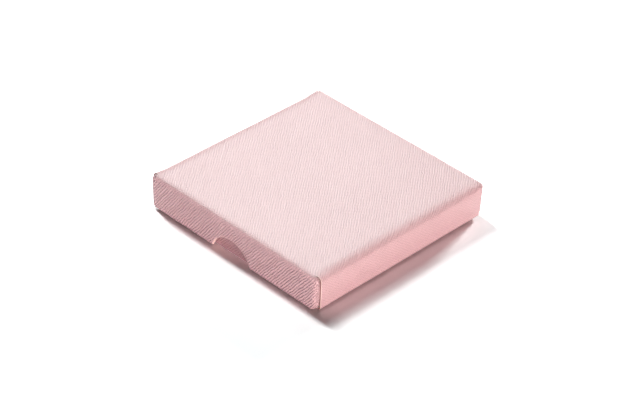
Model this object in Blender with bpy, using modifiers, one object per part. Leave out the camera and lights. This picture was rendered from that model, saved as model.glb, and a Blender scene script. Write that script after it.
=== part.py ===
# Square jewelry box with a lift-off lid. Lid and base are each one sheet of embossed card, folded
# into a shallow tray with doubled walls. Front and back walls end in tabs, and the side walls roll
# over those tabs and hold them. The base holds a foam pad faced with velvet, the lid a thin foam
# sheet. Metres, +Z up, the origin under the centre of the box, the front at -Y.
import math

import bmesh
import bpy
from mathutils import Matrix, Vector

# The card and how it folds.
CARD = 0.0005
PANEL_FOLD = 0.002
TAB_CLEARANCE = 0.0001
LAYER_CLEARANCE = 0.00015
CORNER_SLIT = 0.00015
CORNER_RELIEF = 0.0008
TAB_LENGTH = 0.012
TAB_TAPER = 0.0015
TAB_RELIEF = 0.0004
LIP_LENGTH = 0.008
LIP_FOLD = 0.0003
FOOT_CLEARANCE = 0.0001

# The lid. Its rim stops short of the table, and its lips rest on the rim of the base's side walls.
LID_SIDE = 0.091
LID_HEIGHT = 0.0145
RIM_ABOVE_TABLE = 0.001
SLIDING_CLEARANCE = 0.0004
SEAT_CLEARANCE = 0.0003
NOTCH_RADIUS = 0.0107
NOTCH_CENTRE_DROP = 0.003

# The soft pieces inside.
PAD_FIT = 0.0003
PAD_FOAM_THICKNESS = 0.0055
PAD_CORNER = 0.0012
VELVET_THICKNESS = 0.0005
VELVET_ROUNDING = 0.0002
GLUE_FILM = 0.0001
LID_FOAM_THICKNESS = 0.0015
LID_FOAM_MARGIN = 0.001
SLIT_WIDTH = 0.0004
SLIT_DEPTH = 0.0045
CHAIN_SLIT_LENGTH = 0.009
CHAIN_SLIT_INSET = 0.011
STUD_SLIT_LENGTH = 0.005
STUD_SLIT_SPACING = 0.026
PENDANT_SLIT_LENGTH = 0.014

# How finely round stretches are cut, and what a cutter runs past its work.
FOLD_STEPS = 6
ROLL_STEPS = 8
NOTCH_SIDES = 96
OVERRUN = 0.002
WELD = 1e-6

# Worked out from the sizes above. A side wall holds a tab between its two layers.
TABBED_WALL = 2 * CARD + LAYER_CLEARANCE
ROLLED_WALL = 3 * CARD + 2 * TAB_CLEARANCE
BASE_SIDE = LID_SIDE - 2 * (ROLLED_WALL + SLIDING_CLEARANCE)
BOX_HEIGHT = RIM_ABOVE_TABLE + LID_HEIGHT
LIP_FACE = 2 * CARD + FOOT_CLEARANCE
BASE_HEIGHT = BOX_HEIGHT - LIP_FACE - SEAT_CLEARANCE
PAD_LENGTH = BASE_SIDE - 2 * (ROLLED_WALL + PAD_FIT)
PAD_WIDTH = BASE_SIDE - 2 * (TABBED_WALL + PAD_FIT)
PAD_FLOOR = LIP_FACE + PAD_FIT
PAD_TOP = PAD_FLOOR + PAD_FOAM_THICKNESS
VELVET_FLOOR = PAD_TOP + GLUE_FILM
LID_FOAM_LENGTH = BASE_SIDE - 2 * (ROLLED_WALL + LID_FOAM_MARGIN)
LID_FOAM_WIDTH = BASE_SIDE - 2 * (TABBED_WALL + LID_FOAM_MARGIN)
LID_FOAM_FLOOR = BOX_HEIGHT - LIP_FACE - PAD_FIT - LID_FOAM_THICKNESS

# What each piece is made of: colour, roughness.
PINK_CARD = (0.72, 0.41, 0.42)
CREAM_FOAM = (0.80, 0.76, 0.70)
IVORY_VELVET = (0.78, 0.70, 0.64)
CARD_ROUGHNESS = 0.55
FOAM_ROUGHNESS = 0.95


def clear_scene():
    """Empties the file of objects and of the collections that held them."""
    for thing in list(bpy.data.objects):
        bpy.data.objects.remove(thing, do_unlink=True)
    for group in list(bpy.data.collections):
        bpy.data.collections.remove(group)


def new_collection(name):
    """A collection linked to the scene."""
    group = bpy.data.collections.new(name)
    bpy.context.scene.collection.children.link(group)
    return group


def finish(name, colour, roughness):
    """A plain Principled material."""
    material = bpy.data.materials.new(name)
    material.use_nodes = True
    shader = material.node_tree.nodes["Principled BSDF"]
    shader.inputs["Base Color"].default_value = (*colour, 1.0)
    shader.inputs["Roughness"].default_value = roughness
    shader.inputs["Metallic"].default_value = 0.0
    return material


def make_object(name, bm, group, material=None):
    """Turns a bmesh into a named object and frees the bmesh."""
    mesh = bpy.data.meshes.new(name)
    bm.to_mesh(mesh)
    bm.free()
    thing = bpy.data.objects.new(name, mesh)
    group.objects.link(thing)
    if material is not None:
        mesh.materials.append(material)
    return thing


def make_cutter(name, bm, group):
    """An object that only cuts others."""
    cutter = make_object(name, bm, group)
    cutter.hide_render = True
    cutter.display_type = "WIRE"
    return cutter


def cut(thing, cutter):
    """Takes the cutter's shape out of an object."""
    boolean = thing.modifiers.new("cut_" + cutter.name, "BOOLEAN")
    boolean.operation = "DIFFERENCE"
    boolean.solver = "EXACT"
    boolean.object = cutter


def grow(bm, edges):
    """Adds a strip of card along free edges, and gives its far edges and their points."""
    strip = bmesh.ops.extrude_edge_only(bm, edges=edges)["geom"]
    points = [item for item in strip if isinstance(item, bmesh.types.BMVert)]
    fresh = set(points)
    far = [item for item in strip if isinstance(item, bmesh.types.BMEdge) and fresh.issuperset(item.verts)]
    return far, points


def run_panel(bm, edges, run):
    """Carries free edges along a straight run of card."""
    far, points = grow(bm, edges)
    bmesh.ops.translate(bm, verts=points, vec=run)
    return far


def fold(bm, edges, centre, axis, angle, steps):
    """Bends card from free edges round an axis, in equal steps."""
    turn = Matrix.Rotation(angle / steps, 3, axis)
    for _ in range(steps):
        edges, points = grow(bm, edges)
        bmesh.ops.rotate(bm, verts=points, cent=centre, matrix=turn)
    return edges


def free_edges(bm, test):
    """The sheet's outline edges whose two ends both pass a test."""
    return [edge for edge in bm.edges if edge.is_boundary and all(test(end.co) for end in edge.verts)]


def near(value, target):
    """Whether two lengths agree to the weld distance."""
    return abs(value - target) < WELD


def add_tabbed_wall(bm, side, height, facing):
    """Front or back wall: up from the floor, round the corners into tabs, over the rim and down."""
    half = side / 2
    straight = half - CARD - TAB_CLEARANCE - PANEL_FOLD
    tab_face = half - CARD - TAB_CLEARANCE
    rim_radius = TABBED_WALL / 2
    side_rim_radius = ROLLED_WALL / 2
    wall_end = height - rim_radius
    corner_end = wall_end - CORNER_RELIEF
    tab_bottom = PANEL_FOLD + TAB_RELIEF
    tab_top = min(corner_end, height - side_rim_radius) - TAB_RELIEF
    fold_line = half - PANEL_FOLD
    edges = free_edges(bm, lambda point: near(point.y, facing * fold_line) and abs(point.x) < straight + WELD)
    edges = fold(bm, edges, Vector((0, facing * fold_line, PANEL_FOLD)), "X", facing * math.pi / 2, FOLD_STEPS)
    edges = run_panel(bm, edges, Vector((0, 0, tab_bottom - PANEL_FOLD)))
    edges = run_panel(bm, edges, Vector((0, 0, tab_top - tab_bottom)))
    rim = run_panel(bm, edges, Vector((0, 0, wall_end - tab_top)))

    for hand in (-1, 1):
        profile = free_edges(
            bm, lambda point: near(point.x, hand * straight) and facing * point.y > fold_line - WELD)
        pivot = Vector((hand * straight, facing * fold_line, 0))
        fold(bm, profile, pivot, "Z", -hand * facing * math.pi / 2, FOLD_STEPS)
        for point in bm.verts:
            past_corner = hand * point.co.x > straight + WELD and facing * point.co.y > fold_line - WELD
            if past_corner and near(point.co.z, wall_end):
                point.co.z -= CORNER_RELIEF * (half - facing * point.co.y) / PANEL_FOLD
        tab = free_edges(
            bm, lambda point: near(point.x, hand * tab_face) and near(point.y, facing * fold_line)
            and tab_bottom - WELD < point.z < tab_top + WELD)
        tab = run_panel(bm, tab, Vector((0, -facing * (TAB_LENGTH - TAB_TAPER), 0)))
        tab, points = grow(bm, tab)
        bmesh.ops.translate(bm, verts=points, vec=Vector((0, -facing * TAB_TAPER, 0)))
        middle = (tab_bottom + tab_top) / 2
        for point in points:
            point.co.z += math.copysign(TAB_TAPER, middle - point.co.z)

    over = fold(bm, rim, Vector((0, facing * (half - rim_radius), wall_end)), "X", facing * math.pi, ROLL_STEPS)
    run_panel(bm, over, Vector((0, 0, CARD + FOOT_CLEARANCE - wall_end)))


def add_rolled_wall(bm, side, height, hand):
    """Side wall: up from the floor, over the tabs, down inside them and out along the floor as a lip."""
    half = side / 2
    rim_radius = ROLLED_WALL / 2
    wall_end = height - rim_radius
    fold_line = half - PANEL_FOLD
    lip_line = half - ROLLED_WALL - LIP_FOLD
    lip_start = LIP_FACE + LIP_FOLD
    edges = free_edges(bm, lambda point: near(point.x, hand * fold_line) and near(point.z, 0))
    edges = fold(bm, edges, Vector((hand * fold_line, 0, PANEL_FOLD)), "Y", -hand * math.pi / 2, FOLD_STEPS)
    edges = run_panel(bm, edges, Vector((0, 0, wall_end - PANEL_FOLD)))
    edges = fold(bm, edges, Vector((hand * (half - rim_radius), 0, wall_end)), "Y", -hand * math.pi, ROLL_STEPS)
    edges = run_panel(bm, edges, Vector((0, 0, lip_start - wall_end)))
    edges = fold(bm, edges, Vector((hand * lip_line, 0, lip_start)), "Y", hand * math.pi / 2, FOLD_STEPS)
    run_panel(bm, edges, Vector((-hand * LIP_LENGTH, 0, 0)))


def folded_tray(name, side, height, group, material):
    """One sheet of card as a tray: floor down, rim up, its embossed face outside."""
    half = side / 2
    floor_length = half - CARD - TAB_CLEARANCE - PANEL_FOLD
    floor_width = half - PANEL_FOLD - CORNER_SLIT
    bm = bmesh.new()
    bmesh.ops.create_grid(bm, x_segments=1, y_segments=1, size=1)
    bmesh.ops.scale(bm, verts=bm.verts, vec=Vector((floor_length, floor_width, 1)))
    for sign in (-1, 1):
        ends = free_edges(bm, lambda point: near(point.x, sign * floor_length))
        run_panel(bm, ends, Vector((sign * (CARD + TAB_CLEARANCE), 0, 0)))
    for sign in (-1, 1):
        ends = free_edges(
            bm, lambda point: near(point.y, sign * floor_width) and abs(point.x) < floor_length + WELD)
        run_panel(bm, ends, Vector((0, sign * CORNER_SLIT, 0)))
    for sign in (-1, 1):
        add_tabbed_wall(bm, side, height, sign)
        add_rolled_wall(bm, side, height, sign)
    bmesh.ops.remove_doubles(bm, verts=bm.verts, dist=WELD)
    bmesh.ops.recalc_face_normals(bm, faces=bm.faces)
    floor = max(bm.faces, key=lambda face: face.calc_area())
    if floor.normal.z > 0:
        bmesh.ops.reverse_faces(bm, faces=bm.faces)
    tray = make_object(name, bm, group, material)
    card = tray.modifiers.new("card", "SOLIDIFY")
    card.thickness = CARD
    card.offset = -1
    card.use_even_offset = True
    return tray


def slab(length, width, bottom, top, corner, top_rounding):
    """A rectangular slab with rounded upright corners and a softened top edge."""
    bm = bmesh.new()
    bmesh.ops.create_cube(bm, size=1)
    bmesh.ops.scale(bm, verts=bm.verts, vec=Vector((length, width, top - bottom)))
    bmesh.ops.translate(bm, verts=bm.verts, vec=Vector((0, 0, (top + bottom) / 2)))
    uprights = [edge for edge in bm.edges if not near(edge.verts[0].co.z, edge.verts[1].co.z)]
    bmesh.ops.bevel(
        bm, geom=uprights, offset=corner, segments=4, profile=0.5, affect="EDGES", material=-1)
    if top_rounding:
        rim = [edge for edge in bm.edges if all(near(end.co.z, top) for end in edge.verts)]
        bmesh.ops.bevel(
            bm, geom=rim, offset=top_rounding, segments=3, profile=0.5, affect="EDGES", material=-1)
    return bm


def slit_cutter(name, place, length, angle, group):
    """A thin upright blade that opens one slit in the pad."""
    depth = SLIT_DEPTH + OVERRUN
    bm = bmesh.new()
    bmesh.ops.create_cube(bm, size=1)
    bmesh.ops.scale(bm, verts=bm.verts, vec=Vector((length, SLIT_WIDTH, depth)))
    blade = make_cutter(name, bm, group)
    blade.rotation_euler = (0, 0, angle)
    top = VELVET_FLOOR + VELVET_THICKNESS + OVERRUN
    blade.location = (place[0], place[1], top - depth / 2)
    return blade


def slit_cutters(group):
    """The pad's slits: two for a chain at the back corners, two for ear studs, one for a pendant."""
    chain_x = PAD_LENGTH / 2 - CHAIN_SLIT_INSET
    chain_y = PAD_WIDTH / 2 - CHAIN_SLIT_INSET
    stud_x = STUD_SLIT_SPACING / 2
    diagonal = math.pi / 4
    return [
        slit_cutter("chain_slit_left", (-chain_x, chain_y), CHAIN_SLIT_LENGTH, diagonal, group),
        slit_cutter("chain_slit_right", (chain_x, chain_y), CHAIN_SLIT_LENGTH, -diagonal, group),
        slit_cutter("stud_slit_left", (-stud_x, 0), STUD_SLIT_LENGTH, 0, group),
        slit_cutter("stud_slit_right", (stud_x, 0), STUD_SLIT_LENGTH, 0, group),
        slit_cutter("pendant_slit", (0, -PAD_WIDTH / 4), PENDANT_SLIT_LENGTH, 0, group),
    ]


def thumb_notch_cutter(group):
    """A round bar, front to back, that takes a half moon out of the rim of both tabbed walls."""
    bm = bmesh.new()
    bmesh.ops.create_cone(
        bm, cap_ends=True, segments=NOTCH_SIDES, radius1=NOTCH_RADIUS, radius2=NOTCH_RADIUS,
        depth=LID_SIDE + 2 * OVERRUN)
    bar = make_cutter("thumb_notch_bar", bm, group)
    bar.rotation_euler = (math.pi / 2, 0, 0)
    bar.location = (0, 0, RIM_ABOVE_TABLE - NOTCH_CENTRE_DROP)
    return bar


def shade(thing):
    """Smooth across folds, sharp at cut edges."""
    thing.data.shade_smooth()
    thing.data.set_sharp_from_angle(angle=math.radians(40))


def build():
    """Makes the whole box."""
    clear_scene()
    box = new_collection("jewelry_box")
    cutters = new_collection("cutters")
    card = finish("pink_card", PINK_CARD, CARD_ROUGHNESS)
    lid_card_finish = finish("pink_card_lid", PINK_CARD, CARD_ROUGHNESS)
    pad_foam_finish = finish("pad_foam", CREAM_FOAM, FOAM_ROUGHNESS)
    lid_foam_finish = finish("lid_foam", CREAM_FOAM, FOAM_ROUGHNESS)
    velvet_finish = finish("velvet", IVORY_VELVET, FOAM_ROUGHNESS)

    base = folded_tray("base_card", BASE_SIDE, BASE_HEIGHT, box, card)
    pad = make_object(
        "pad_foam", slab(PAD_LENGTH, PAD_WIDTH, PAD_FLOOR, PAD_TOP, PAD_CORNER, 0), box, pad_foam_finish)
    velvet_top = VELVET_FLOOR + VELVET_THICKNESS
    velvet = make_object(
        "pad_velvet", slab(PAD_LENGTH, PAD_WIDTH, VELVET_FLOOR, velvet_top, PAD_CORNER, VELVET_ROUNDING), box,
        velvet_finish)
    for blade in slit_cutters(cutters):
        cut(pad, blade)
        cut(velvet, blade)

    lid_lift = bpy.data.objects.new("lid_lift", None)
    lid_lift.location = (0, 0, BOX_HEIGHT)
    box.objects.link(lid_lift)
    lid = folded_tray("lid_card", LID_SIDE, LID_HEIGHT, box, lid_card_finish)
    lid.parent = lid_lift
    lid.rotation_euler = (math.pi, 0, 0)
    cut(lid, thumb_notch_cutter(cutters))
    lid_foam = make_object(
        "lid_foam",
        slab(LID_FOAM_LENGTH, LID_FOAM_WIDTH, LID_FOAM_FLOOR, LID_FOAM_FLOOR + LID_FOAM_THICKNESS, PAD_CORNER, 0),
        box, lid_foam_finish)
    lid_foam.parent = lid_lift
    lid_foam.location = (0, 0, -BOX_HEIGHT)

    for thing in (base, pad, velvet, lid, lid_foam):
        shade(thing)


build()
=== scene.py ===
import math

import bmesh
import bpy
from mathutils import Matrix, Vector, noise


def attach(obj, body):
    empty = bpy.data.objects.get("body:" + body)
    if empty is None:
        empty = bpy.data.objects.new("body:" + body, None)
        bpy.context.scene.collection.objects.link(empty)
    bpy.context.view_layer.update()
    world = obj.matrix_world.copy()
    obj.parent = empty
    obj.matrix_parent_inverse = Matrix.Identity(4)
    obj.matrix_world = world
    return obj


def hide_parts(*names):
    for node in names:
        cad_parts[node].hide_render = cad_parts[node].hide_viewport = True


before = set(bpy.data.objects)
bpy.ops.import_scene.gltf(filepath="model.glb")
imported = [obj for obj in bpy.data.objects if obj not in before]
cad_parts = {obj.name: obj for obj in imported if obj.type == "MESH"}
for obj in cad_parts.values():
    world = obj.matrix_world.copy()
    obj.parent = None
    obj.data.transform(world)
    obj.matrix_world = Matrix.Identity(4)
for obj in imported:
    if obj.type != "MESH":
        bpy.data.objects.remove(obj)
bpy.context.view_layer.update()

# The base tray. One die-cut sheet of pink board with an embossed woven grain, folded up without
# glue: front and back walls are doubled and end in tabs, and the side walls roll over those tabs.
# The sheet is grown strip by strip, and each point keeps its place on the flat blank for the grain.
BOARD = 0.0005
PANEL_FOLD = 0.002
TAB_LENGTH = 0.012
TAB_TAPER = 0.0015
TAB_RELIEF = 0.0004
LIP_LENGTH = 0.008
LIP_FOLD = 0.0003
LIP_FACE = 0.0011
TABBED_WALL = 0.00115
BASE_SIDE = 0.0868
BASE_HEIGHT = 0.0141
SHEET_CELL = 0.0018
FOLD_STEPS = 10
ROLL_STEPS = 12
SHARP_FROM = math.radians(40)
WELD = 1e-6


class Wire:
    """A socket in a material. Sums and products of it add Math nodes, and node() adds any other."""

    def __init__(self, tree, socket=None):
        self.tree = tree
        self.socket = socket

    def node(self, kind, settings=None, sockets=None, out=0):
        made = self.tree.nodes.new("ShaderNode" + kind)
        for name, value in (settings or {}).items():
            setattr(made, name, value)
        for name, value in (sockets or {}).items():
            if isinstance(value, Wire):
                self.tree.links.new(value.socket, made.inputs[name])
            else:
                made.inputs[name].default_value = value
        return Wire(self.tree, made.outputs[out])

    def math(self, operation, *values):
        return self.node("Math", {"operation": operation}, dict(enumerate(values)))

    def __add__(self, other):
        return self.math("ADD", self, other)

    def __radd__(self, other):
        return self.math("ADD", other, self)

    def __sub__(self, other):
        return self.math("SUBTRACT", self, other)

    def __rsub__(self, other):
        return self.math("SUBTRACT", other, self)

    def __mul__(self, other):
        return self.math("MULTIPLY", self, other)

    def size(self):
        return self.math("ABSOLUTE", self)

    def root(self):
        return self.math("SQRT", self)

    def sine(self):
        return self.math("SINE", self)

    def highest(self, other):
        return self.math("MAXIMUM", self, other)

    def axis(self, number):
        """This vector's X, Y or Z, numbered from 0."""
        return self.node("SeparateXYZ", {}, {"Vector": self}, number)

    def between(self, low, high):
        """0 at low, 1 at high, and clamped."""
        return self.node("MapRange", {}, {"Value": self, "From Min": low, "From Max": high})

    def mix(self, first, second):
        """This value's mix of two colours."""
        return self.node("Mix", {"data_type": "RGBA"}, {0: self, 6: first, 7: second}, 2)

    def noise(self, scale, detail=2.0, distortion=0.0):
        """Noise of 0 to 1 read at this vector."""
        sockets = {"Vector": self, "Scale": scale, "Detail": detail, "Distortion": distortion}
        return self.node("TexNoise", {}, sockets)

    def stored(self, name):
        """A value that the mesh keeps at each of its points."""
        return self.node("Attribute", {"attribute_name": name}, out=2)

    def place(self):
        """Where a point lies in the piece, in metres."""
        return self.node("TexCoord", out=3)


def new_finish(name, values):
    """A material, its Principled shader with some fixed values, and a Wire to build on."""
    material = bpy.data.materials.new(name)
    material.use_nodes = True
    shader = material.node_tree.nodes["Principled BSDF"]
    for socket, value in values.items():
        shader.inputs[socket].default_value = value
    return material, shader, Wire(material.node_tree)


def dress(shader, colour, height, depth):
    """Links a colour and a bump of a real depth to a shader."""
    bump = height.node("Bump", {}, {"Height": height, "Distance": depth, "Strength": 1.0})
    colour.tree.links.new(colour.socket, shader.inputs["Base Color"])
    colour.tree.links.new(bump.socket, shader.inputs["Normal"])


# The embossed face: two sets of fine diagonal ribs cross and pass over and under each other. The
# rising set stands out on the front and back walls. Pairs of lengths say from where to where on
# the flat blank, counted from its middle, the card changes.
RIB_PITCH = 0.00095
RIB_ANGLE = math.radians(38)
RIB_DEPTH = 0.0003
RIB_WANDER = 7.0
RUN_RATE = 1100.0
FRONT_FOLD = (0.0433, 0.0465)
SIDE_WALL_FOLD = (0.0435, 0.0465)
RIM_FOLD = (0.0585, 0.0600)
GLOSS_ENDS_ALONG = (0.0425, 0.0440)
GLOSS_ENDS_ACROSS = (0.0412, 0.0428)
HOLLOW_PINK = (0.525, 0.305, 0.315, 1)
RIDGE_PINK = (0.745, 0.475, 0.475, 1)
FADED_PINK = (0.80, 0.50, 0.50, 1)
# Painted shade for the base tray, which lies inside the lid.
RECESS_SHADE_PINK = (0.28, 0.08, 0.09, 1)
EDGE_HIGHLIGHT_CREAM = (0.95, 0.74, 0.66, 1)
embossed, embossed_shader, wire = new_finish("embossed_pink_card", {
    "Roughness": 0.5, "Coat Roughness": 0.27, "Coat IOR": 1.6, "Specular IOR Level": 0.25,
    "Sheen Weight": 0.2, "Sheen Roughness": 0.4})
blank = wire.node("UVMap", {"uv_map": "blank"})
across, along = blank.axis(0), blank.axis(1)
lean_x, lean_y = math.cos(RIB_ANGLE), math.sin(RIB_ANGLE)


def rib_set(way, beside, wander, length_rate, fade, least):
    """Ribs counted along one way, which wander and fade in and out in runs."""
    runs = way.node("CombineXYZ", {}, {0: way * RUN_RATE, 1: beside * length_rate}).noise(1.0)
    return (way * (2 * math.pi / RIB_PITCH) + wander).sine() * (runs.between(*fade) + least)


rising_ribs = rib_set(
    across * lean_x + along * lean_y, along * lean_x - across * lean_y,
    (blank.noise(260.0) - 0.5) * RIB_WANDER, length_rate=1000.0, fade=(0.4, 0.6), least=0.1)
falling_ribs = rib_set(
    across * lean_x - along * lean_y, along * lean_x + across * lean_y,
    (blank.noise(310.0, distortion=0.4) - 0.5) * RIB_WANDER, length_rate=170.0, fade=(0.35, 0.6),
    least=0.2)
past_rim = along.size().between(*RIM_FOLD)
front_wall = along.size().between(*FRONT_FOLD) * (1 - past_rim * 0.7)
side_wall = across.size().between(*SIDE_WALL_FOLD)
rising_share = 0.3 + front_wall * 3.0 + side_wall * 0.3
falling_share = 0.9 - front_wall * 0.2
ribs = rising_ribs * rising_share + falling_ribs * falling_share
fibre = blank.noise(5200.0)
grain = ribs * 0.3 + fibre * 0.3
pink = grain.between(-0.3, 0.6).mix(HOLLOW_PINK, RIDGE_PINK)
patch = blank.noise(35.0, 3.0).between(0.3, 0.7)
pink = (patch * 0.12).mix(pink, FADED_PINK)
# Painted shade: the base tray's face is mixed halfway to a dark crimson, for the shade it lies in behind
# the lid's walls and in the thumb notch.
pink = (wire.stored("recess_shade") * 0.5).mix(pink, RECESS_SHADE_PINK)
# Painted highlight: a thin cream line on the face along the cut ends of the side walls beside the
# corners, for the light their rounded edge catches.
raw_edge = wire.stored("raw_edge").between(0.80, 0.92)
pink = raw_edge.mix(pink, EDGE_HIGHLIGHT_CREAM)
# The die presses the card down along the thumb notch, which leaves a narrow round edge there.
NOTCH_RADIUS = 0.0107
NOTCH_CENTRE = -0.002
NOTCH_PRESS = 0.0004
NOTCHED_WALL = (0.0440, 0.0444)
PRESSED_PINK = (0.90, 0.64, 0.60, 1)
place = wire.place()
sideways, rise = place.axis(0), place.axis(2) - NOTCH_CENTRE
notch_reach = (sideways * sideways + rise * rise).root()
on_wall = place.axis(1).size().between(*NOTCHED_WALL)
pressed = (1 - (notch_reach - NOTCH_RADIUS) * (1 / NOTCH_PRESS)).between(0.0, 1.0) * on_wall
pink = (pressed * 0.6).mix(pink, PRESSED_PINK)
surface = grain * (1 - raw_edge) * (1 - pressed) - pressed * pressed * 1.2
dress(embossed_shader, pink, surface, RIB_DEPTH)
# The flat panel was pressed smooth and has a soft gloss, which the card loses where it bends.
past_panel = across.size().between(*GLOSS_ENDS_ACROSS).highest(along.size().between(*GLOSS_ENDS_ALONG))
wire.tree.links.new((0.9 - past_panel * 0.65).socket, embossed_shader.inputs["Coat Weight"])

# The back of the board: uncoated, off white, with short fibres.
board_back, back_shader, wire = new_finish("uncoated_board", {"Roughness": 0.85})
fluff = wire.place().noise(1400.0, 4.0, 0.6)
speck = wire.place().noise(260.0, 5.0).between(0.35, 0.65)
dress(back_shader, speck.mix((0.80, 0.74, 0.68, 1), (0.88, 0.84, 0.79, 1)), fluff, 0.00004)

# The cut edge: pale board, tinted by the pink coat, with the layers of its pulp. The ends that are
# tucked in behind a corner are painted dark crimson, a painted shade for the seam they lie in.
cut_edge, edge_shader, wire = new_finish("cut_board_edge", {"Roughness": 0.8})
pulp = wire.place().noise(3200.0, 3.0)
pale = pulp.between(0.3, 0.7).mix((0.86, 0.56, 0.49, 1), (0.93, 0.70, 0.62, 1))
# Painted shade: the tucked cut ends are mixed most of the way to a dark crimson.
edge_tone = (wire.stored("raw_edge") * 0.9).mix(pale, (0.22, 0.06, 0.06, 1))
dress(edge_shader, edge_tone, pulp, 0.00003)


def near(value, target):
    """Whether two lengths agree to the weld distance."""
    return abs(value - target) < WELD


def free_edges(bm, test):
    """The sheet's outline edges whose two ends both pass a test."""
    return [edge for edge in bm.edges if edge.is_boundary and all(test(end.co) for end in edge.verts)]


def only(kind, geometry):
    """The points, edges or faces among a mixed list."""
    return [item for item in geometry if isinstance(item, kind)]


def grow(bm, edges, on_blank):
    """Adds a strip of board along free edges; on_blank is its width and direction on the flat blank."""
    flat = bm.verts.layers.float_vector["flat"]
    strip = bmesh.ops.extrude_edge_only(bm, edges=edges)["geom"]
    points = only(bmesh.types.BMVert, strip)
    for point in points:
        point[flat] = point[flat] + on_blank
    fresh = set(points)
    far = [edge for edge in only(bmesh.types.BMEdge, strip) if fresh.issuperset(edge.verts)]
    return far, points


def run_panel(bm, edges, run, away):
    """Carries free edges along a straight run of board, in rows of about a cell."""
    rows = max(1, round(run.length / SHEET_CELL))
    for _ in range(rows):
        edges, points = grow(bm, edges, away * (run.length / rows))
        bmesh.ops.translate(bm, verts=points, vec=run / rows)
    return edges


def fold(bm, edges, centre, axis, angle, radius, away, steps):
    """Bends board from free edges round an axis, in equal steps."""
    turn = Matrix.Rotation(angle / steps, 3, axis)
    for _ in range(steps):
        edges, points = grow(bm, edges, away * (radius * abs(angle) / steps))
        bmesh.ops.rotate(bm, verts=points, cent=centre, matrix=turn)
    return edges


def add_tabbed_wall(bm, side, height, tab_gap, relief, pinch, facing):
    """Front or back wall: up from the floor, round the corners into tabs, over the rim and down.

    relief is how far the rim sinks where it turns in. pinch runs from 0, a corner bent round, to 1,
    a corner pressed square. facing is -1 for the front and 1 for the back."""
    half = side / 2
    away = Vector((0, facing, 0))
    tab_face = half - BOARD - tab_gap
    straight = tab_face - PANEL_FOLD
    rim_radius = TABBED_WALL / 2
    wall_end = height - rim_radius
    tab_bottom = PANEL_FOLD + TAB_RELIEF
    tab_top = wall_end - relief - TAB_RELIEF
    fold_line = half - PANEL_FOLD
    edges = free_edges(
        bm, lambda point: near(point.y, facing * fold_line) and abs(point.x) < straight + WELD)
    crease = Vector((0, facing * fold_line, PANEL_FOLD))
    edges = fold(bm, edges, crease, "X", facing * math.pi / 2, PANEL_FOLD, away, FOLD_STEPS)
    edges = run_panel(bm, edges, Vector((0, 0, tab_bottom - PANEL_FOLD)), away)
    edges = run_panel(bm, edges, Vector((0, 0, tab_top - tab_bottom)), away)
    rim = run_panel(bm, edges, Vector((0, 0, wall_end - tab_top)), away)

    for hand in (-1, 1):
        outward = Vector((hand, 0, 0))
        profile = free_edges(
            bm, lambda point: near(point.x, hand * straight) and facing * point.y > fold_line - WELD)
        pivot = Vector((hand * straight, facing * fold_line, 0))
        fold(bm, profile, pivot, "Z", -hand * facing * math.pi / 2, PANEL_FOLD, outward, FOLD_STEPS)
        round_corner = [
            point for point in bm.verts
            if hand * point.co.x > straight + WELD and facing * point.co.y > fold_line - WELD]
        for point in round_corner:
            if point.co.z > tab_top:
                turned = (half - facing * point.co.y) / PANEL_FOLD
                share = (point.co.z - tab_top) / (wall_end - tab_top)
                point.co.z -= relief * share * turned
            spoke = point.co - pivot
            spoke.z = 0
            squareness = spoke.length / max(abs(spoke.x), abs(spoke.y), WELD)
            point.co += spoke * (squareness ** pinch - 1)
        tab = free_edges(
            bm, lambda point: near(point.x, hand * tab_face) and near(point.y, facing * fold_line)
            and tab_bottom - WELD < point.z < tab_top + WELD)
        tab = run_panel(bm, tab, Vector((0, -facing * (TAB_LENGTH - TAB_TAPER), 0)), outward)
        tab, points = grow(bm, tab, outward * TAB_TAPER)
        bmesh.ops.translate(bm, verts=points, vec=Vector((0, -facing * TAB_TAPER, 0)))
        middle = (tab_bottom + tab_top) / 2
        squeeze = 1 - 2 * TAB_TAPER / (tab_top - tab_bottom)
        for point in points:
            point.co.z = middle + (point.co.z - middle) * squeeze

    rim_middle = Vector((0, facing * (half - rim_radius), wall_end))
    over = fold(bm, rim, rim_middle, "X", facing * math.pi, rim_radius, away, ROLL_STEPS)
    run_panel(bm, over, Vector((0, 0, LIP_FACE - BOARD - wall_end)), away)


def add_rolled_wall(bm, side, height, wall, hand):
    """Side wall: up from the floor, over the tabs, down inside them and out along the floor as a lip.

    hand is -1 for the left wall and 1 for the right one."""
    half = side / 2
    away = Vector((hand, 0, 0))
    rim_radius = wall / 2
    wall_end = height - rim_radius
    fold_line = half - PANEL_FOLD
    lip_line = half - wall - LIP_FOLD
    lip_start = LIP_FACE + LIP_FOLD
    edges = free_edges(bm, lambda point: near(point.x, hand * fold_line) and near(point.z, 0))
    crease = Vector((hand * fold_line, 0, PANEL_FOLD))
    edges = fold(bm, edges, crease, "Y", -hand * math.pi / 2, PANEL_FOLD, away, FOLD_STEPS)
    edges = run_panel(bm, edges, Vector((0, 0, wall_end - PANEL_FOLD)), away)
    rim_middle = Vector((hand * (half - rim_radius), 0, wall_end))
    edges = fold(bm, edges, rim_middle, "Y", -hand * math.pi, rim_radius, away, ROLL_STEPS)
    edges = run_panel(bm, edges, Vector((0, 0, lip_start - wall_end)), away)
    crease = Vector((hand * lip_line, 0, lip_start))
    edges = fold(bm, edges, crease, "Y", hand * math.pi / 2, LIP_FOLD, away, FOLD_STEPS)
    run_panel(bm, edges, Vector((-hand * LIP_LENGTH, 0, 0)), away)


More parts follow.
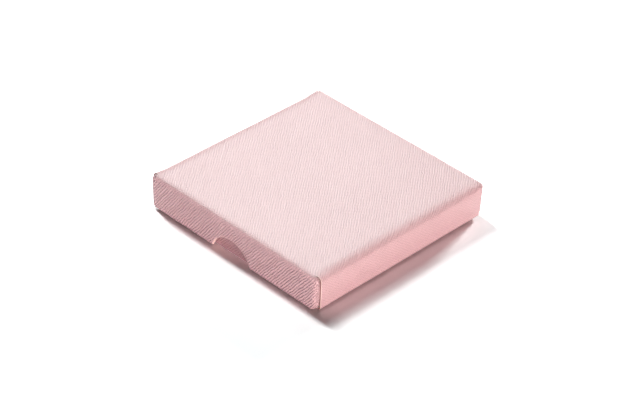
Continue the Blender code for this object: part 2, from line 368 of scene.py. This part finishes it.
def fold_tray(side, height, rolled_wall, tab_gap, slit, relief, pinches, recess_shade_share):
    """One sheet of board as a tray, floor down and rim up, its embossed face outside.

    rolled_wall is a side wall's full thickness, tab_gap the play between it and a tab, and slit the
    cut that parts the two walls at a corner. pinches holds a pinch for the front and the back."""
    half = side / 2
    straight = half - BOARD - tab_gap - PANEL_FOLD
    floor_width = half - PANEL_FOLD - slit
    bm = bmesh.new()
    flat = bm.verts.layers.float_vector.new("flat")
    cells = round(side / SHEET_CELL)
    bmesh.ops.create_grid(bm, x_segments=cells, y_segments=cells, size=1)
    bmesh.ops.scale(bm, verts=bm.verts, vec=Vector((straight, floor_width, 1)))
    for point in bm.verts:
        point[flat] = point.co
    for sign in (-1, 1):
        ends = free_edges(bm, lambda point: near(point.x, sign * straight))
        run_panel(bm, ends, Vector((sign * (half - PANEL_FOLD - straight), 0, 0)), Vector((sign, 0, 0)))
    for sign in (-1, 1):
        ends = free_edges(
            bm, lambda point: near(point.y, sign * floor_width) and abs(point.x) < straight + WELD)
        run_panel(bm, ends, Vector((0, sign * slit, 0)), Vector((0, sign, 0)))
    for sign in (-1, 1):
        add_tabbed_wall(bm, side, height, tab_gap, relief, pinches[sign], sign)
        add_rolled_wall(bm, side, height, rolled_wall, sign)
    blank_map = bm.loops.layers.uv.new("blank")
    for face in bm.faces:
        for loop in face.loops:
            loop[blank_map].uv = loop.vert[flat].xy
    bm.verts.layers.float_vector.remove(flat)
    bmesh.ops.remove_doubles(bm, verts=bm.verts, dist=WELD)
    raw_edge = bm.verts.layers.float.new("raw_edge")
    recess_shade = bm.verts.layers.float.new("recess_shade")
    for point in bm.verts:
        point[raw_edge] = float(point.is_boundary and 0 < point.co.y < floor_width + WELD)
        # Painted shade: 1 darkens the whole face towards a dark crimson, for the shade inside the lid,
        # and 0 leaves it.
        point[recess_shade] = recess_shade_share
    bmesh.ops.recalc_face_normals(bm, faces=bm.faces)
    lowest = min(bm.faces, key=lambda face: face.calc_center_median().z)
    if lowest.normal.z > 0:
        bmesh.ops.reverse_faces(bm, faces=bm.faces)
    return bm


def settle(bm, amount, length, seed):
    """Bends a piece out of true by a smooth wander of its points, the same one in every run."""
    noise.seed_set(seed)
    for point in bm.verts:
        point.co += noise.noise_vector(point.co / length) * amount


def as_piece(name, bm, finishes):
    """A bmesh as an object that sits at the origin, with its finishes in its slots."""
    mesh = bpy.data.meshes.new(name)
    bm.to_mesh(mesh)
    bm.free()
    for finish in finishes:
        mesh.materials.append(finish)
    piece = bpy.data.objects.new(name, mesh)
    bpy.context.scene.collection.objects.link(piece)
    return piece


def add_board_thickness(piece):
    """Gives a sheet its thickness, with the uncoated back in slot 1 and the cut edge in slot 2."""
    board = piece.modifiers.new("board", "SOLIDIFY")
    board.thickness = BOARD
    board.offset = -1
    board.use_even_offset = True
    board.material_offset = 1
    board.material_offset_rim = 2


def fix_modifiers(piece):
    """Bakes a piece's modifiers into its mesh, smooth across folds and sharp at cut edges."""
    bpy.context.view_layer.update()
    done = bpy.data.meshes.new_from_object(piece.evaluated_get(bpy.context.evaluated_depsgraph_get()))
    piece.modifiers.clear()
    piece.data = done
    done.shade_smooth()
    done.set_sharp_from_angle(angle=SHARP_FROM)


base_sheet = fold_tray(
    BASE_SIDE, BASE_HEIGHT, rolled_wall=0.0017, tab_gap=0.0001, slit=0.00015, relief=0.0008,
    pinches={-1: 0.1, 1: 0.1}, recess_shade_share=1.0)
settle(base_sheet, amount=0.00008, length=0.03, seed=4)
lowest_point = min(point.co.z for point in base_sheet.verts)
bmesh.ops.translate(base_sheet, verts=base_sheet.verts, vec=Vector((0, 0, -lowest_point)))
base_tray = as_piece("base_tray", base_sheet, [embossed, board_back, cut_edge])
add_board_thickness(base_tray)
fix_modifiers(base_tray)
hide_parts("base_card")
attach(base_tray, "base")

# The lid. The same sheet turned over, 2.1 mm larger all round, with its rim 1 mm above the table.
# A half moon is die-cut from the rim of both doubled walls for the thumb.
LID_SIDE = 0.091
LID_HEIGHT = 0.0145
BOX_HEIGHT = 0.0155
SIDE_FOLD = 0.0032
SIDE_FOLD_FADE = 0.006
RIM_LEAN = 0.00025

lid_sheet = fold_tray(
    LID_SIDE, LID_HEIGHT, rolled_wall=0.00182, tab_gap=0.0002, slit=0.0002, relief=0.0010,
    pinches={-1: 0.35, 1: 0.1}, recess_shade_share=0.0)
# The top bends more softly into the side walls than at their ends.
fold_centre = Vector((LID_SIDE / 2 - SIDE_FOLD, SIDE_FOLD))
for point in lid_sheet.verts:
    across_lid = abs(point.co.x)
    spoke = Vector((across_lid, point.co.z)) - fold_centre
    bend = Vector((across_lid - LID_SIDE / 2 + PANEL_FOLD, point.co.z - PANEL_FOLD))
    on_skin = near(point.co.z, 0) or near(across_lid, LID_SIDE / 2) or near(bend.length, PANEL_FOLD)
    if on_skin and spoke.x > 0 and spoke.y < 0:
        share = min(1.0, max(0.0, LID_SIDE / 2 - PANEL_FOLD - abs(point.co.y)) / SIDE_FOLD_FADE)
        rounder = spoke * (SIDE_FOLD / spoke.length - 1) * share
        point.co.x += math.copysign(1, point.co.x) * rounder.x
        point.co.z += rounder.y
# Its walls lean in a little towards the rim.
for point in lid_sheet.verts:
    lean = RIM_LEAN * max(0.0, point.co.z - PANEL_FOLD) / (LID_HEIGHT - PANEL_FOLD)
    point.co.x -= math.copysign(lean, point.co.x)
    point.co.y -= math.copysign(lean, point.co.y)
turn_over = Matrix.Rotation(math.pi, 3, "X")
bmesh.ops.rotate(lid_sheet, verts=lid_sheet.verts, cent=Vector(), matrix=turn_over)
bmesh.ops.translate(lid_sheet, verts=lid_sheet.verts, vec=Vector((0, 0, BOX_HEIGHT)))
settle(lid_sheet, amount=0.0001, length=0.028, seed=1)
lid_cover = as_piece("lid_cover", lid_sheet, [embossed, board_back, cut_edge])
add_board_thickness(lid_cover)


def cut_with(piece, name, tool, finishes, solver):
    """Takes a tool's shape out of a piece. The tool's finishes go to the new faces."""
    cutter = as_piece(name, tool, finishes)
    opening = piece.modifiers.new(name, "BOOLEAN")
    opening.operation = "DIFFERENCE"
    opening.solver = solver
    opening.material_mode = "TRANSFER" if finishes else "INDEX"
    opening.object = cutter
    fix_modifiers(piece)
    bpy.data.objects.remove(cutter, do_unlink=True)


punch = bmesh.new()
bmesh.ops.create_cone(
    punch, cap_ends=True, segments=144, radius1=NOTCH_RADIUS, radius2=NOTCH_RADIUS, depth=LID_SIDE * 1.1)
lie_down = Matrix.Rotation(math.pi / 2, 3, "X")
bmesh.ops.rotate(punch, verts=punch.verts, cent=Vector(), matrix=lie_down)
bmesh.ops.translate(punch, verts=punch.verts, vec=Vector((0, 0, NOTCH_CENTRE)))
cut_with(lid_cover, "thumb_punch", punch, [cut_edge], "EXACT")
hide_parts("lid_card")
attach(lid_cover, "lid")

# The foam pad. A die-cut slab of open-celled foam, pressed into the base on top of the lips.
# A blade has slit it for jewelry: two slanted slits at the back for a chain, two short ones in the
# middle for ear studs, and a long one at the front for a pendant.
PAD_SIZE = Vector((0.0828, 0.0839))
PAD_FLOOR = 0.0014
PAD_TOP = 0.0069
SLAB_CORNER = 0.0012
PAD_CELL = 0.0009
PAD_CROWN = 0.0003
SLIT_FLOOR = 0.003
SLIT_WIDTH = 0.0004
SLIT_DIP = 0.0003
SLIT_REACH = 0.0012
slits = {
    "chain_slit_left": (Vector((-0.0304, 0.03095)), 0.009, math.radians(45)),
    "chain_slit_right": (Vector((0.0304, 0.03095)), 0.009, math.radians(-45)),
    "stud_slit_left": (Vector((-0.013, 0)), 0.005, 0.0),
    "stud_slit_right": (Vector((0.013, 0)), 0.005, 0.0),
    "pendant_slit": (Vector((0, -0.020975)), 0.014, 0.0),
}

foam, foam_shader, wire = new_finish("open_celled_foam", {"Roughness": 0.95, "Specular IOR Level": 0.2})
cells = wire.node("TexVoronoi", {"feature": "F1"}, {"Vector": wire.place(), "Scale": 1900.0})
pore = cells.between(0.05, 0.6)
cloud = wire.place().noise(180.0, 3.0).between(0.3, 0.7)
cream = cloud.mix((0.83, 0.79, 0.72, 1), (0.88, 0.85, 0.79, 1))
dress(foam_shader, pore.mix((0.56, 0.51, 0.44, 1), cream), pore, 0.00012)


def soft_slab(size, low, high, soft, cell):
    """A flat slab with round upright corners and edges eased by a small radius, in square cells."""
    bm = bmesh.new()
    half = size / 2
    bmesh.ops.create_grid(bm, x_segments=round(size.x / cell), y_segments=round(size.y / cell), size=1)
    bmesh.ops.scale(bm, verts=bm.verts, vec=Vector((half.x, half.y, 1)))
    for point in bm.verts:
        pivot = Vector((
            math.copysign(half.x - SLAB_CORNER, point.co.x),
            math.copysign(half.y - SLAB_CORNER, point.co.y), 0))
        spoke = point.co - pivot
        if spoke.x * pivot.x > 0 and spoke.y * pivot.y > 0:
            point.co = pivot + spoke * (max(abs(spoke.x), abs(spoke.y)) / spoke.length)
    bmesh.ops.scale(bm, verts=bm.verts, vec=Vector((1 - soft / half.x, 1 - soft / half.y, 1)))
    bmesh.ops.translate(bm, verts=bm.verts, vec=Vector((0, 0, low)))
    layer, inset, level = bm.faces[:], soft, low
    shoulder = 0.3 * soft
    rows = [(low + shoulder, shoulder), (low + soft, 0.0), (high - soft, 0.0),
            (high - shoulder, shoulder), (high, soft)]
    for next_level, next_inset in rows:
        strip = bmesh.ops.extrude_face_region(bm, geom=layer)["geom"]
        if level > low:
            bmesh.ops.delete(bm, geom=layer, context="FACES")
        layer = only(bmesh.types.BMFace, strip)
        points = only(bmesh.types.BMVert, strip)
        spread = Vector((
            (half.x - next_inset) / (half.x - inset), (half.y - next_inset) / (half.y - inset), 1))
        bmesh.ops.scale(bm, verts=points, vec=spread)
        bmesh.ops.translate(bm, verts=points, vec=Vector((0, 0, next_level - level)))
        inset, level = next_inset, next_level
    bmesh.ops.recalc_face_normals(bm, faces=bm.faces)
    return bm


def pad_rise(place):
    """How far the pad stands up at a place: a low crown, and a dip along each slit."""
    half = PAD_SIZE / 2
    rise = PAD_CROWN * (1 - (place.x / half.x) ** 4) * (1 - (place.y / half.y) ** 4)
    for middle, length, angle in slits.values():
        offset = (place - middle) @ Matrix.Rotation(angle, 2)
        beyond = max(0.0, abs(offset.x) - length / 2)
        rise -= SLIT_DIP * math.exp(-(beyond ** 2 + offset.y ** 2) / SLIT_REACH ** 2)
    return rise


def cut_slits(piece):
    """Opens every slit in a piece, widest at its middle and closed at its ends."""
    blades = bmesh.new()
    for middle, length, angle in slits.values():
        blade = bmesh.ops.create_cone(
            blades, cap_ends=True, segments=24, radius1=0.5, radius2=0.5, depth=PAD_TOP)["verts"]
        bmesh.ops.scale(blades, verts=blade, vec=Vector((length, SLIT_WIDTH, 1)))
        bmesh.ops.rotate(blades, verts=blade, cent=Vector(), matrix=Matrix.Rotation(angle, 3, "Z"))
        bmesh.ops.translate(
            blades, verts=blade, vec=Vector((middle.x, middle.y, SLIT_FLOOR + PAD_TOP / 2)))
    cut_with(piece, "slitter", blades, [], "MANIFOLD")


pad_slab = soft_slab(PAD_SIZE, PAD_FLOOR, PAD_TOP, soft=0.0003, cell=PAD_CELL)
for point in pad_slab.verts:
    point.co.z += pad_rise(point.co.xy) * (point.co.z - PAD_FLOOR) / (PAD_TOP - PAD_FLOOR)
foam_pad = as_piece("foam_pad", pad_slab, [foam])
cut_slits(foam_pad)
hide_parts("pad_foam")
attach(foam_pad, "base")

# The velvet face. One piece of short-piled ivory velvet glued to the pad before both are cut, so
# that it has the pad's outline and slits. It dips along the slits, and its nap lies in soft patches.
VELVET_GAP = 0.0001
VELVET_THICKNESS = 0.0005

velvet, velvet_shader, wire = new_finish("short_piled_velvet", {
    "Roughness": 0.9, "Specular IOR Level": 0.2,
    "Sheen Weight": 0.6, "Sheen Roughness": 0.4, "Sheen Tint": (1.0, 0.96, 0.92, 1)})
pile = wire.place().noise(7000.0, 3.0)
nap = wire.place().noise(70.0, 3.0, 1.4).between(0.3, 0.7)
# Painted sheen: the nap's patches get lighter and darker tones for how differently their pile catches the
# light.
nap_sheen_tone = nap.mix((0.79, 0.69, 0.62, 1), (0.87, 0.775, 0.70, 1))
tuft = pile.between(0.25, 0.7)
ivory = (tuft * 0.8 + 0.2).mix((0.44, 0.36, 0.32, 1), nap_sheen_tone)
dress(velvet_shader, ivory, pile + nap * 0.15, 0.0001)

velvet_low = PAD_TOP + VELVET_GAP
velvet_slab = soft_slab(
    PAD_SIZE, velvet_low, velvet_low + VELVET_THICKNESS, soft=0.00018, cell=PAD_CELL)
for point in velvet_slab.verts:
    point.co.z += pad_rise(point.co.xy)
velvet_face = as_piece("velvet_face", velvet_slab, [velvet])
cut_slits(velvet_face)
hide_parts("pad_velvet")
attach(velvet_face, "base")

# The lid's foam. A thin sheet of the same foam, glued under the lid's top inside its walls, which
# keeps a chain from sliding off the pad. It isn't quite flat, as thin foam never is.
LID_PAD_SIZE = Vector((0.0814, 0.0825))
LID_PAD_FLOOR = 0.0126
LID_PAD_TOP = 0.0141

lid_slab = soft_slab(LID_PAD_SIZE, LID_PAD_FLOOR, LID_PAD_TOP, soft=0.0003, cell=0.0015)
settle(lid_slab, amount=0.0001, length=0.012, seed=7)
lid_pad = as_piece("lid_pad", lid_slab, [foam])
fix_modifiers(lid_pad)
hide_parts("lid_foam")
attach(lid_pad, "lid")

# The table and the light. A white table, a high soft lamp on the left and a low one behind the box,
# which throw its shadow to the right and forward. A small card behind gives the top its soft gloss,
# and two cards that stand on the table, right and front, fill the walls.
SEEN_TABLE = (1.46, 1.41, 1.41, 1)
TABLE_WHITE = (0.94, 0.94, 0.94, 1)
WHITE = (1.0, 1.0, 1.0, 1)
ROOM_LOW = (0.04, 0.041, 0.043, 1)
ROOM_HIGH = (0.025, 0.026, 0.027, 1)


def on_rays(wire, kind):
    """1 for light that is traced as one kind of ray, and 0 for any other."""
    return wire.node("LightPath", out="Is " + kind + " Ray")


floor_mesh = bmesh.new()
bmesh.ops.create_grid(floor_mesh, x_segments=1, y_segments=1, size=4.0)
floor_finish, floor_shader, wire = new_finish(
    "white_table", {"Roughness": 0.9, "Specular IOR Level": 0.0})
mirrored = on_rays(wire, "Glossy").highest(on_rays(wire, "Transmission"))
table_tone = on_rays(wire, "Camera").mix(mirrored.mix(TABLE_WHITE, WHITE), SEEN_TABLE)
wire.tree.links.new(table_tone.socket, floor_shader.inputs["Base Color"])
table = as_piece("table", floor_mesh, [floor_finish])

world = bpy.data.worlds.new("white_room")
bpy.context.scene.world = world
world.use_nodes = True
room = world.node_tree.nodes["Background"]
room.inputs["Strength"].default_value = 1.0
wire = Wire(world.node_tree)
mirrored = on_rays(wire, "Glossy").highest(on_rays(wire, "Transmission"))
seen = on_rays(wire, "Camera").highest(mirrored)
overhead = wire.node("TexCoord").axis(2).between(0.05, 0.45)
room_tone = overhead.mix(ROOM_LOW, ROOM_HIGH)
wire.tree.links.new(seen.mix(room_tone, WHITE).socket, room.inputs["Color"])


def soft_lamp(name, compass, height_angle, distance, width, height, power, colour):
    """A flat lamp that looks at the box from a compass angle (0 is +X) and a height angle, in degrees."""
    azimuth, elevation = math.radians(compass), math.radians(height_angle)
    data = bpy.data.lights.new(name, "AREA")
    data.shape = "RECTANGLE"
    data.size = width
    data.size_y = height
    data.energy = power
    data.color = colour
    lamp = bpy.data.objects.new(name, data)
    bpy.context.scene.collection.objects.link(lamp)
    flat_reach = distance * math.cos(elevation)
    lamp.location = (
        flat_reach * math.cos(azimuth), flat_reach * math.sin(azimuth), distance * math.sin(elevation))
    lamp.rotation_euler = (-lamp.location).to_track_quat("-Z", "Y").to_euler()


soft_lamp("left_lamp", 172, 47.5, 3.2, width=0.38, height=1.3, power=89.0, colour=(0.93, 1.0, 1.0))
soft_lamp("back_lamp", 101.5, 19.3, 3.2, width=0.5, height=0.54, power=122.0, colour=(0.93, 1.0, 1.0))
soft_lamp("mirror_card", 139, 38.5, 1.6, width=0.44, height=0.42, power=2.1, colour=(0.95, 1.0, 1.0))
soft_lamp("right_card", -22, 0.9, 1.2, width=0.6, height=0.034, power=15.9, colour=(1.0, 0.885, 0.885))
soft_lamp("front_card", 270, 0.9, 1.2, width=0.5, height=0.034, power=3.8, colour=(1.0, 0.75, 0.89))

# The camera looks down over the near right corner, as the photograph does. Its angles are in degrees.
PHOTO_WIDTH = 640
FOCAL_LENGTH_IN_PIXELS = 2208.5
SENSOR_WIDTH = 36.0
CAMERA_TURN = 43.806
CAMERA_DOWN = 35.58
CAMERA_ROLL = 2.385
camera_data = bpy.data.cameras.new("camera")
camera_data.sensor_width = SENSOR_WIDTH
camera_data.lens = FOCAL_LENGTH_IN_PIXELS * SENSOR_WIDTH / PHOTO_WIDTH
camera_data.clip_start = 0.01
camera = bpy.data.objects.new("camera", camera_data)
bpy.context.scene.collection.objects.link(camera)
camera.location = (0.47876, -0.49751, 0.49940)
turn = Matrix.Rotation(math.radians(CAMERA_TURN), 4, "Z")
look_down = Matrix.Rotation(math.radians(90 - CAMERA_DOWN), 4, "X")
roll = Matrix.Rotation(math.radians(CAMERA_ROLL), 4, "Z")
camera.rotation_euler = (turn @ look_down @ roll).to_euler()
bpy.context.scene.camera = camera
bpy.context.scene.view_settings.view_transform = "Standard"
